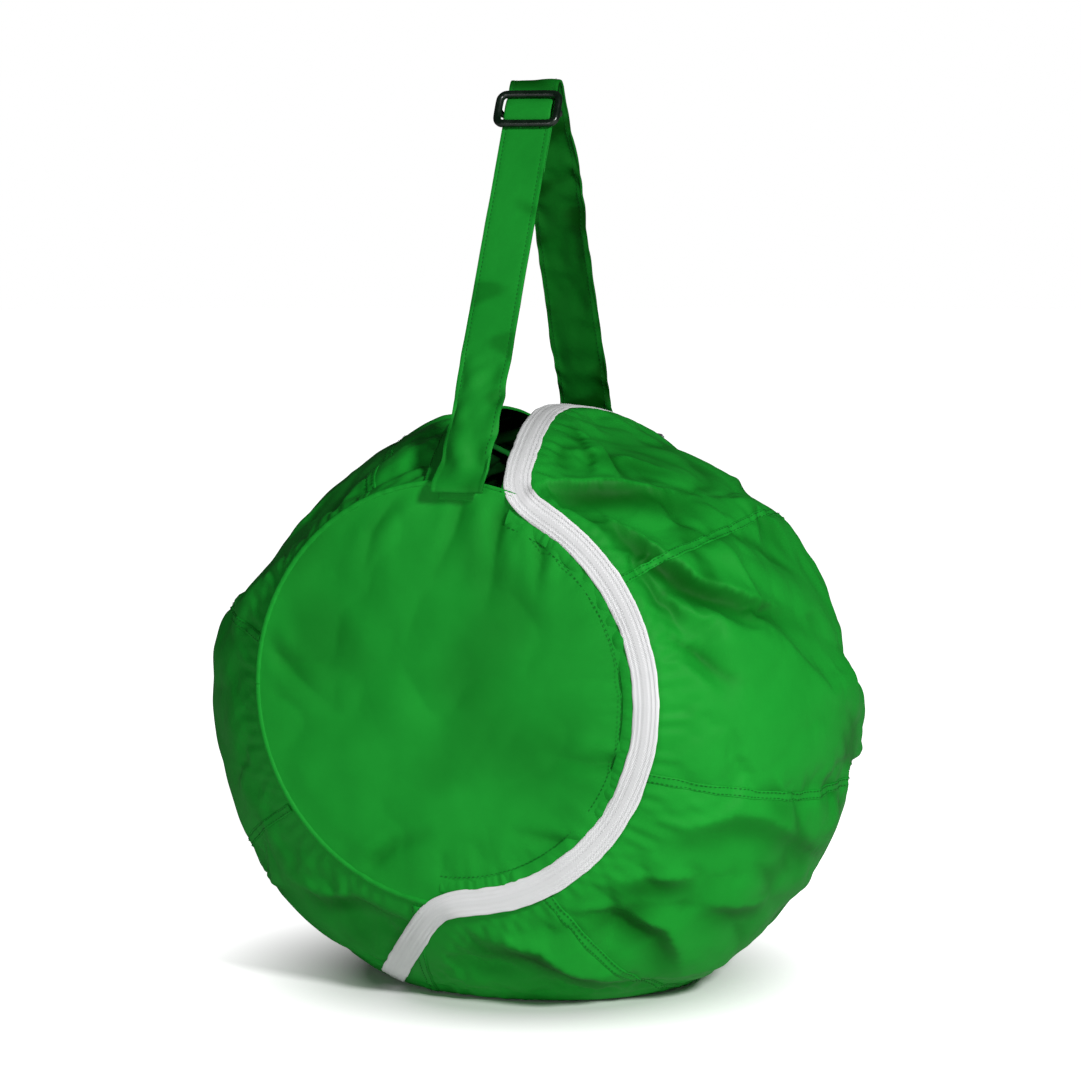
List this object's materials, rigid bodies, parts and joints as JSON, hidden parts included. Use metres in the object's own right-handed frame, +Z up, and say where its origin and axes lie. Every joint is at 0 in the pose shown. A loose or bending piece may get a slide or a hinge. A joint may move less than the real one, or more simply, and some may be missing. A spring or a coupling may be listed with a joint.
{
  "type": "fruit picking bag",
  "caption": "Round soft fruit picking bag: gored drum between two discs, slot mouth on top, zip round the front disc, one shoulder strap with a slider.",
  "frame": {"origin": "on the ground, below the middle of the whole object's box", "axes": "+Z up, the drum's axis along Y, the front disc faces -Y, the zip side is +X"},
  "size_m": [0.498, 0.3425, 0.684],
  "materials": {
    "shell_fabric": "crisp green coated nylon with a fine plain weave",
    "strap_fabric": "the same green nylon in plies, topstitched along both edges",
    "seam_binding": "woven green binding tape",
    "foam_board": "thin closed-cell foam board",
    "zip_tape": "white woven polyester tape",
    "zip_teeth": "white nylon coil",
    "zip_metal": "satin zinc",
    "slider_plastic": "glossy black-green moulded plastic"
  },
  "bodies": {
    "bag": {"wall_gore_1": "shell_fabric", "wall_gore_2": "shell_fabric", "wall_gore_3": "shell_fabric", "wall_gore_4": "shell_fabric", "wall_gore_5": "shell_fabric", "wall_gore_6": "shell_fabric", "wall_gore_7": "shell_fabric", "wall_gore_8": "shell_fabric", "front_disc_panel": "shell_fabric", "rear_disc_panel": "shell_fabric", "front_disc_stiffener": "foam_board", "rear_disc_stiffener": "foam_board", "gathered_rim_strip": "shell_fabric", "gore_seam_bindings": "seam_binding", "front_rim_binding": "seam_binding", "rear_rim_binding": "seam_binding", "mouth_hem_crown": "shell_fabric", "mouth_hem_front": "shell_fabric", "zip_tape_inner": "zip_tape", "zip_coil": "zip_teeth", "zip_tape_outer": "zip_tape", "zip_end_stop": "zip_metal", "strap_anchor_front": "strap_fabric", "strap_anchor_rear": "strap_fabric"},
    "strap": {"shoulder_strap": "strap_fabric"},
    "glide": {"tri_glide_slider": "slider_plastic", "strap_end_loop": "strap_fabric"},
    "zip_slider": {"zip_slider": "zip_metal"},
    "zip_pull": {"zip_pull_tab": "zip_metal"}
  },
  "joints": [
    {"name": "strap_swing", "type": "hinge", "parent": "bag", "child": "strap", "pos_m": [0.01173, -0.15071, 0.43097], "axis": [-0.0608, 0.9936, 0.0955], "range_deg": [-50, 50]},
    {"name": "glide_slide", "type": "slide", "parent": "strap", "child": "glide", "axis": [0.0296, -0.4846, -0.8742], "range_m": [0, 0.15]},
    {"name": "zip_travel", "type": "hinge", "parent": "bag", "child": "zip_slider", "pos_m": [0.01981, -0.00113, 0.124], "axis": [0.9854, -0.1701, 0], "range_deg": [0, 25]},
    {"name": "pull_swing", "type": "hinge", "parent": "zip_slider", "child": "zip_pull", "pos_m": [0.04617, 0.14806, 0.40565], "axis": [0.9662, -0.2308, -0.1148], "range_deg": [0, 150]}
  ]
}
